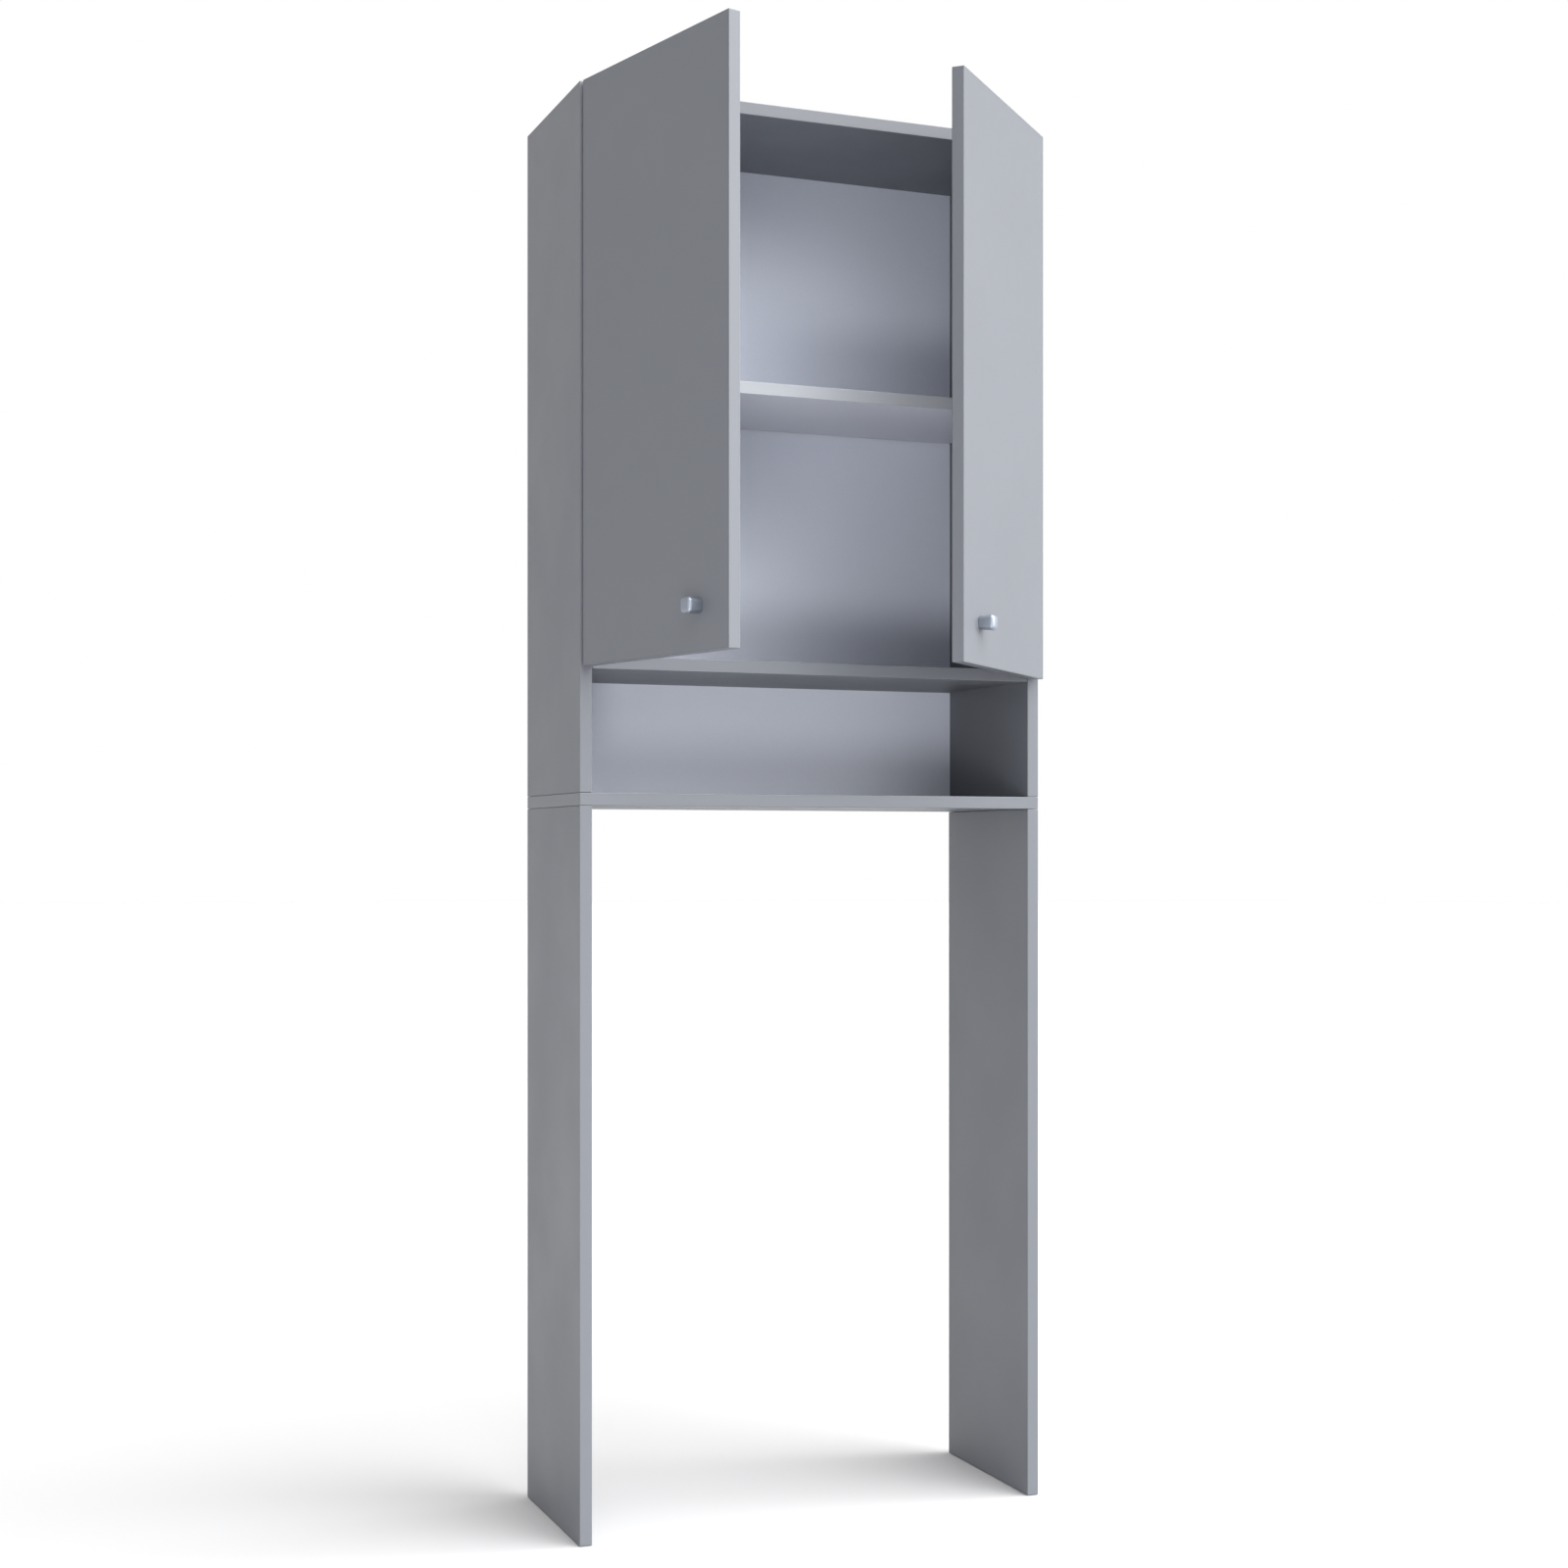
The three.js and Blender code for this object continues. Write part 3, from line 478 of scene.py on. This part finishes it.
# %% Where the small pieces go
PIVOT_FROM_DOOR_CORNER = Vector((10.4, 3.1, 0.0)) * MM
MIRROR = {"left": 1.0, "right": -1.0}
SEAM = 0.3 * MM  # the gap that the solids leave where two parts touch
TO_PLUS_Y = Matrix.Rotation(-math.pi / 2, 4, "X")  # out of a door, or towards the wall
TO_MINUS_Y = Matrix.Rotation(math.pi / 2, 4, "X")
TO_PLUS_X = Matrix.Rotation(math.pi / 2, 4, "Y")  # inwards from a side
pivots = {joint["name"]: Vector(joint["pos_m"]) for joint in frame["joints"]}
side_corner = Vector(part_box("left_upper_side")[0])


def carcass_frame(side):
    """x runs inwards from the outer face of the side, y back from its front edge, z up."""
    corner = Vector((side_corner.x * MIRROR[side], side_corner.y, 0.0))
    return Matrix.Translation(corner) @ Matrix.Diagonal((MIRROR[side], 1.0, 1.0, 1.0))


def door_frame(side):
    """x runs across the door from its hinge edge, y from its inner face to the room, z up."""
    pivot = pivots[side + "_door_swing"].copy()
    pivot.z = 0.0
    mirror = Matrix.Diagonal((MIRROR[side], -1.0, 1.0, 1.0))
    turn = Matrix.Rotation(OPENING[side], 4, "Z")
    return Matrix.Translation(pivot) @ turn @ mirror @ Matrix.Translation(-PIVOT_FROM_DOOR_CORNER)


for side in OPENING:
    corner = door_frame(side).translation
    print(f"{side} door corner at ({corner.x / MM:.1f}, {corner.y / MM:.1f}) mm")

# %% Set in place
MERGE_DISTANCE = 0.0005 * MM
SHARP_EDGE = math.radians(35)


def make_piece(name, shapes, places, material, body):
    """Sets copies of some bmeshes at these places and joins them in one object at the origin."""
    joined = bmesh.new()
    for place in places:
        for shape in shapes:
            copy = shape.copy()
            bmesh.ops.transform(copy, matrix=place, verts=copy.verts)
            data = bpy.data.meshes.new("copy")
            copy.to_mesh(data)
            copy.free()
            joined.from_mesh(data)
            bpy.data.meshes.remove(data)
    bmesh.ops.remove_doubles(joined, verts=joined.verts, dist=MERGE_DISTANCE)
    bmesh.ops.recalc_face_normals(joined, faces=joined.faces)
    data = bpy.data.meshes.new(name)
    joined.to_mesh(data)
    joined.free()
    data.materials.append(material)
    data.shade_smooth()
    data.set_sharp_from_angle(angle=SHARP_EDGE)
    piece = bpy.data.objects.new(name, data)
    bpy.context.scene.collection.objects.link(piece)
    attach(piece, body)
    return piece


print("edges over", round(math.degrees(SHARP_EDGE)), "degrees stay sharp")

# %% [markdown]
# ## Knobs
# Each knob is a short square stub that widens a little from the foot to the head. It starts as a
# block that is narrowed at the foot. One bevel over all edges but those of the foot rounds it as
# polishing rounds a casting, with a ball at each corner, and a slightly raised middle gives the
# head its pillow.

# %% Knobs
KNOB_WIDTH, KNOB_FOOT_WIDTH, KNOB_HEIGHT = 19.8 * MM, 16.8 * MM, 20.4 * MM
KNOB_CROWN = 0.6 * MM
KNOB_EDGE, KNOB_EDGE_STEPS = 5.0 * MM, 6
KNOB_ACROSS = 255.5 * MM  # from the hinge edge of the door to the middle of the knob
knob_level = node_box("left_door_knob")[1].z


def knob_mesh():
    """A knob with its foot on the origin and its head towards +Z."""
    mesh = bmesh.new()
    bmesh.ops.create_cube(mesh, size=1.0)
    body = KNOB_HEIGHT - KNOB_CROWN
    bmesh.ops.translate(mesh, vec=(0.0, 0.0, 0.5), verts=mesh.verts)
    bmesh.ops.scale(mesh, vec=(KNOB_WIDTH, KNOB_WIDTH, body), verts=mesh.verts)
    foot = [v for v in mesh.verts if v.co.z < body / 2]
    share = KNOB_FOOT_WIDTH / KNOB_WIDTH
    bmesh.ops.scale(mesh, vec=(share, share, 1.0), verts=foot)
    not_on_foot = [e for e in mesh.edges if any(v.co.z > body / 2 for v in e.verts)]
    bmesh.ops.bevel(
        mesh, geom=not_on_foot, offset=KNOB_EDGE, segments=KNOB_EDGE_STEPS, profile=0.5,
        affect="EDGES", material=-1,
    )
    mesh.normal_update()
    head = [f for f in mesh.faces if f.normal.z > 0.99 and f.calc_area() > (KNOB_WIDTH / 2) ** 2]
    bmesh.ops.poke(mesh, faces=head, offset=KNOB_CROWN)
    return mesh


print(f"knob head {KNOB_WIDTH / MM:.1f} mm wide, centred {knob_level / MM:.0f} mm above the floor")

# %% Knobs in place
for side in OPENING:
    foot = Vector((KNOB_ACROSS, DOOR_THICKNESS + SEAM, knob_level))
    place = door_frame(side) @ Matrix.Translation(foot) @ TO_PLUS_Y
    knob = make_piece(
        side + "_door_knob_casting", [knob_mesh()], [place], satin_chrome,
        side + "_door",
    )
    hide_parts(side + "_door_knob")
    print(knob.name, "has", len(knob.data.polygons), "faces")

# %% [markdown]
# ## Screw heads
# Knobs and hinges are held by small cross-head screws. A screw head this small shows as a bright
# ring with a dark cross, so the cross has to be cut in. A grid gives the cross for free: its
# middle cells, one wide and five long each way, are pushed down to form the recess. The two outer
# rings of its vertices are drawn out to circles.

# %% Screw heads
GRID_CELLS = 7
RECESS_TAPER, HEAD_TAPER = 0.72, 0.8


def screw_head(radius, rise, recess):
    """A pan head with its seat on the origin and its cross towards +Z. Sizes in millimetres."""
    cell = 2.0 / GRID_CELLS
    mesh = bmesh.new()
    bmesh.ops.create_grid(mesh, x_segments=GRID_CELLS, y_segments=GRID_CELLS, size=1.0)
    cross = []
    for face in mesh.faces:
        off_middle = sorted(abs(c) for c in face.calc_center_median()[:2])
        if off_middle[0] < 0.5 * cell and off_middle[1] < 2.5 * cell:
            cross.append(face)
    for v in mesh.verts:
        reach = max(abs(v.co.x), abs(v.co.y))
        if reach > 2.0 * cell:
            v.co *= reach / v.co.length
    walls = bmesh.ops.extrude_face_region(mesh, geom=cross)
    bottom = [v for v in walls["geom"] if isinstance(v, bmesh.types.BMVert)]
    bmesh.ops.delete(mesh, geom=cross, context="FACES")
    bmesh.ops.translate(mesh, vec=(0.0, 0.0, -recess / radius), verts=bottom)
    bmesh.ops.scale(mesh, vec=(RECESS_TAPER, RECESS_TAPER, 1.0), verts=bottom)
    rim = [e for e in mesh.edges if e.is_boundary]
    skirt = bmesh.ops.extrude_edge_only(mesh, edges=rim)
    lower = [v for v in skirt["geom"] if isinstance(v, bmesh.types.BMVert)]
    bmesh.ops.translate(mesh, vec=(0.0, 0.0, -rise / radius), verts=lower)
    upper = list({v for e in rim for v in e.verts})
    bmesh.ops.scale(mesh, vec=(HEAD_TAPER, HEAD_TAPER, 1.0), verts=upper)
    bmesh.ops.contextual_create(mesh, geom=[e for e in mesh.edges if e.is_boundary])
    bmesh.ops.translate(mesh, vec=(0.0, 0.0, rise / radius), verts=mesh.verts)
    bmesh.ops.scale(mesh, vec=(radius * MM,) * 3, verts=mesh.verts)
    return mesh


KNOB_SCREW_HEAD = screw_head(radius=4.0, rise=2.2, recess=1.5)
print("a screw head has", len(KNOB_SCREW_HEAD.faces), "faces")

# %% [markdown]
# ## Knob screws and shelf pins
# A machine screw goes through each door into the knob, and its head shows on the inner face. The
# shelf lies on four turned pins. A pin is a peg in the side, a collar that stops it, and a stub
# with a rounded end that carries the shelf. Shanks and pins are round, and spinning half an outline
# about an axis makes them as a lathe does.

# %% Turned rods
TURNED_SIDES = 24
TURNED_MERGE = 0.001 * MM


def turned(profile):
    """A turned rod along Z. The profile gives radius and height, from one end to the other."""
    mesh = bmesh.new()
    line = [mesh.verts.new((radius, 0.0, z)) for radius, z in profile]
    edges = [mesh.edges.new(pair) for pair in zip(line, line[1:])]
    bmesh.ops.spin(
        mesh, geom=line + edges, axis=(0.0, 0.0, 1.0), cent=(0.0, 0.0, 0.0),
        steps=TURNED_SIDES, angle=math.tau, use_merge=True,
    )
    bmesh.ops.remove_doubles(mesh, verts=mesh.verts, dist=TURNED_MERGE)
    return mesh


SHANK_RADIUS, SHANK_END, SHANK_ROUND = 2.0 * MM, 25.6 * MM, 0.6 * MM
SHANK = turned([
    (0.0, -SHANK_END), (SHANK_RADIUS - SHANK_ROUND, -SHANK_END),
    (SHANK_RADIUS, -SHANK_END + SHANK_ROUND), (SHANK_RADIUS, SEAM), (0.0, SEAM),
])
PIN_RADIUS, PIN_END, PIN_ROUND = 2.5 * MM, 8.0 * MM, 0.6 * MM
COLLAR_RADIUS, COLLAR_END = 4.0 * MM, 1.5 * MM
PIN = turned([
    (0.0, -PIN_END), (PIN_RADIUS - PIN_ROUND, -PIN_END), (PIN_RADIUS, -PIN_END + PIN_ROUND),
    (PIN_RADIUS, SEAM), (COLLAR_RADIUS, SEAM), (COLLAR_RADIUS, COLLAR_END),
    (PIN_RADIUS, COLLAR_END), (PIN_RADIUS, PIN_END - PIN_ROUND),
    (PIN_RADIUS - PIN_ROUND, PIN_END), (0.0, PIN_END),
])
print("a shank has", len(SHANK.faces), "faces and a pin", len(PIN.faces))

# %% Knob screws and shelf pins
SIDE_THICKNESS = 16 * MM

for side in OPENING:
    seat = Vector((KNOB_ACROSS, -SEAM, knob_level))
    place = door_frame(side) @ Matrix.Translation(seat) @ TO_MINUS_Y
    screw = make_piece(
        side + "_knob_machine_screw", [KNOB_SCREW_HEAD, SHANK], [place], zinc_plating,
        side + "_door",
    )
    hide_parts(side + "_knob_screw")
    for row in ("front", "rear"):
        node = f"{side}_{row}_shelf_pin"
        centre = node_box(node)[1]
        mouth = Vector((SIDE_THICKNESS, centre.y - side_corner.y, centre.z))
        place = carcass_frame(side) @ Matrix.Translation(mouth) @ TO_PLUS_X
        pin = make_piece(
            node + "_turned", [PIN], [place], bright_nickel, "cabinet",
        )
        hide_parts(node)
    print(f"the {side} knob has its screw, and the shelf two pins on the {side}")

# %% [markdown]
# ## Screws of the hinges
# Two screws hold each cup in its door and two hold each plate to the side. On the arm sit the
# clamp screw, which locks it to the plate, and the adjuster, which moves the door sideways. A
# table gives each kind its head and its places, so that one loop can make them all.

# %% Screws of the hinges
# Radius, rise and recess of the head; what it sits in; its places in that frame, in millimetres.
HINGE_SCREWS = {
    "plate_screws": ((3.3, 1.3, 0.9), "side", [(18.1, 37.0, -16.0), (18.1, 37.0, 16.0)]),
    "clamp_screw": ((3.6, 1.8, 1.2), "side", [(32.0, 50.0, 0.0)]),
    "adjuster": ((2.2, 0.7, 0.6), "side", [(31.6, 33.0, 0.0)]),
    "cup_screws": ((3.2, 1.2, 0.9), "door", [(28.5, -1.1, -24.0), (28.5, -1.1, 24.0)]),
}

for side in OPENING:
    seats = {
        "side": (carcass_frame(side), TO_PLUS_X, "cabinet"),
        "door": (door_frame(side), TO_MINUS_Y, side + "_door"),
    }
    for level in ("lower", "upper"):
        hinge = f"{side}_{level}_hinge"
        middle = Vector((0.0, 0.0, node_box(hinge + "_cup")[1].z))
        for kind, (head, seat, spots) in HINGE_SCREWS.items():
            base, towards, body = seats[seat]
            places = [base @ Matrix.Translation(Vector(s) * MM + middle) @ towards for s in spots]
            make_piece(
                f"{hinge}_{kind}", [screw_head(*head)], places, zinc_plating, body,
            )
    print("the", side, "hinges have their screws")

# %% [markdown]
# ## Nails of the back panel
# The back is nailed into its rebate along both sides and the top, and its lower edge stands on the
# base board. The heads are small flat discs that stand half a millimetre proud of the brown sheet,
# and they keep the same spacing along each edge. They are joined in one piece, because nothing
# moves them apart.

# %% Nails of the back panel
NAIL_HEAD_RADIUS, NAIL_HEAD_TAPER, NAIL_HEAD_RISE = 2.1 * MM, 0.8, 0.5 * MM
NAIL_SIDES = 16
NAIL_SPACING = 110 * MM
NAIL_FROM_EDGE = Vector((4.0, 0.0, 4.0)) * MM

nail = bmesh.new()
bmesh.ops.create_cone(
    nail, cap_ends=True, segments=NAIL_SIDES, radius1=NAIL_HEAD_RADIUS,
    radius2=NAIL_HEAD_RADIUS * NAIL_HEAD_TAPER, depth=NAIL_HEAD_RISE,
)
bmesh.ops.translate(nail, vec=(0.0, 0.0, NAIL_HEAD_RISE / 2), verts=nail.verts)
low, high = (Vector(corner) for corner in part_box("back_panel"))
low, high = low + NAIL_FROM_EDGE, high - NAIL_FROM_EDGE
across = round((high.x - low.x) / NAIL_SPACING)
upwards = round((high.z - low.z) / NAIL_SPACING)
spots = [(low.x + (high.x - low.x) * i / across, high.z) for i in range(across + 1)]
for i in range(upwards):
    spots += [(x, low.z + (high.z - low.z) * i / upwards) for x in (low.x, high.x)]
places = [Matrix.Translation((x, high.y, z)) @ TO_PLUS_Y for x, z in spots]
make_piece("back_panel_nails", [nail], places, zinc_plating, "cabinet")
print(len(spots), "nails hold the back panel")

# %% [markdown]
# ## Floor
# The floor is plain and pale, and wide enough that its far edge melts into the white background.
# It wears a matt paint, which shows soft shadows and no reflections.

# %% Floor
FLOOR_RADIUS, FLOOR_SIDES = 40.0, 96
FLOOR_LEVEL = -0.5 * MM
PAINT_CLOUD, PAINT_DARK, PAINT_LIGHT = 900 * MM, "#b4b4b5", "#bababb"
PAINT_ROUGHNESS = 0.8

floor_mesh = bmesh.new()
bmesh.ops.create_circle(floor_mesh, cap_ends=True, segments=FLOOR_SIDES, radius=FLOOR_RADIUS)
floor_data = bpy.data.meshes.new("floor")
floor_mesh.to_mesh(floor_data)
floor_mesh.free()
floor = bpy.data.objects.new("floor", floor_data)
floor.location.z = FLOOR_LEVEL
bpy.context.scene.collection.objects.link(floor)
painted_floor, tree, coords = new_material("pale_matt_paint")
tone = add_node(tree, "TexNoise", inputs={
    "Vector": coords, "Scale": scale_for(PAINT_CLOUD), "Detail": 2.0,
})
shade = add_node(tree, "Mix", {"data_type": "RGBA"}, {
    "Factor": tone.outputs["Fac"], "A": linear(PAINT_DARK), "B": linear(PAINT_LIGHT),
})
finish_with(tree, {"Base Color": shade.outputs["Result"], "Roughness": PAINT_ROUGHNESS})
floor_data.materials.append(painted_floor)
print("the floor reaches", FLOOR_RADIUS, "m from the cabinet")

# %% [markdown]
# ## Light
# The photograph was lit from all round, most from high in front on the right. A bright glow there
# fades into a dimmer sky on every side. It could be a ring of lamps, but one smooth glow gives no
# hard shadows between the open doors. The glow is kept out of the picture: what the camera sees
# behind the cabinet is plain white. A key lamp low on the right puts the soft shadows beside the
# knobs, and a weak fill lamp near the floor, left of the front, lightens the inside between the
# doors and the undersides of the shelves.

# %% The glow
GLOW_SIDE, GLOW_HEIGHT = math.radians(38), math.radians(48)
GLOW_BRIGHT, GLOW_DIM = 6.9, 0.75
GLOW_EDGE = 0.6  # the cosine at which the glow has faded out


def away(side, up):
    """The direction that lies this far round to the right of the front, and this far up."""
    return Vector((math.sin(side) * math.cos(up), -math.cos(side) * math.cos(up), math.sin(up)))


world = bpy.data.worlds.new("studio_glow")
world.use_nodes = True
bpy.context.scene.world = world
tree = world.node_tree
background = tree.nodes["Background"]
background.inputs["Color"].default_value = linear("#ffffff")
view = add_node(tree, "TexCoord").outputs["Generated"]
towards_glow = add_node(tree, "VectorMath", {"operation": "DOT_PRODUCT"}, {
    0: view, 1: away(GLOW_SIDE, GLOW_HEIGHT),
})
glow = add_node(tree, "MapRange", {"interpolation_type": "SMOOTHSTEP"}, {
    "Value": towards_glow.outputs["Value"],
    "From Min": GLOW_EDGE, "From Max": 1.0, "To Min": GLOW_DIM, "To Max": GLOW_BRIGHT,
})
seen = add_node(tree, "LightPath").outputs["Is Camera Ray"]
strength = add_node(tree, "Mix", {"data_type": "FLOAT"}, {
    "Factor": seen, "A": glow.outputs["Result"], "B": 1.0,
})
tree.links.new(strength.outputs["Result"], background.inputs["Strength"])
bpy.context.scene.view_settings.view_transform = "Standard"
print("the glow is", round(GLOW_BRIGHT / GLOW_DIM, 1), "times as bright on its side")

# %% The lamps
AIM = Vector((0.0, 0.0, height * 0.55))  # a little over half way up the cabinet
KEY_SIDE, KEY_HEIGHT, KEY_DISTANCE = math.radians(78), math.radians(16), 5.0
FILL_PLACE, FILL_AIM = Vector((-0.95, -2.0, 0.35)), AIM + Vector((0.0, 0.0, 0.3))


def disk_lamp(name, place, aim, size, power):
    """A round soft lamp of this many watts that stands at the place and shines at the aim."""
    lamp_data = bpy.data.lights.new(name, "AREA")
    lamp_data.shape = "DISK"
    lamp_data.size = size
    lamp_data.energy = power
    lamp = bpy.data.objects.new(name, lamp_data)
    lamp.location = place
    lamp.rotation_euler = (place - aim).to_track_quat("Z", "Y").to_euler()
    bpy.context.scene.collection.objects.link(lamp)
    print(name, "at", [round(c, 2) for c in place])


key_place = AIM + away(KEY_SIDE, KEY_HEIGHT) * KEY_DISTANCE
disk_lamp("key_lamp", key_place, AIM, size=1.5, power=114.0)
disk_lamp("fill_lamp", FILL_PLACE, FILL_AIM, size=0.6, power=15.0)

# %% [markdown]
# ## The size of the solids
# The box of the solids is printed at the end.

# %% The size of the solids
print("CAD box", [[round(c, 4) for c in corner] for corner in cad_box])
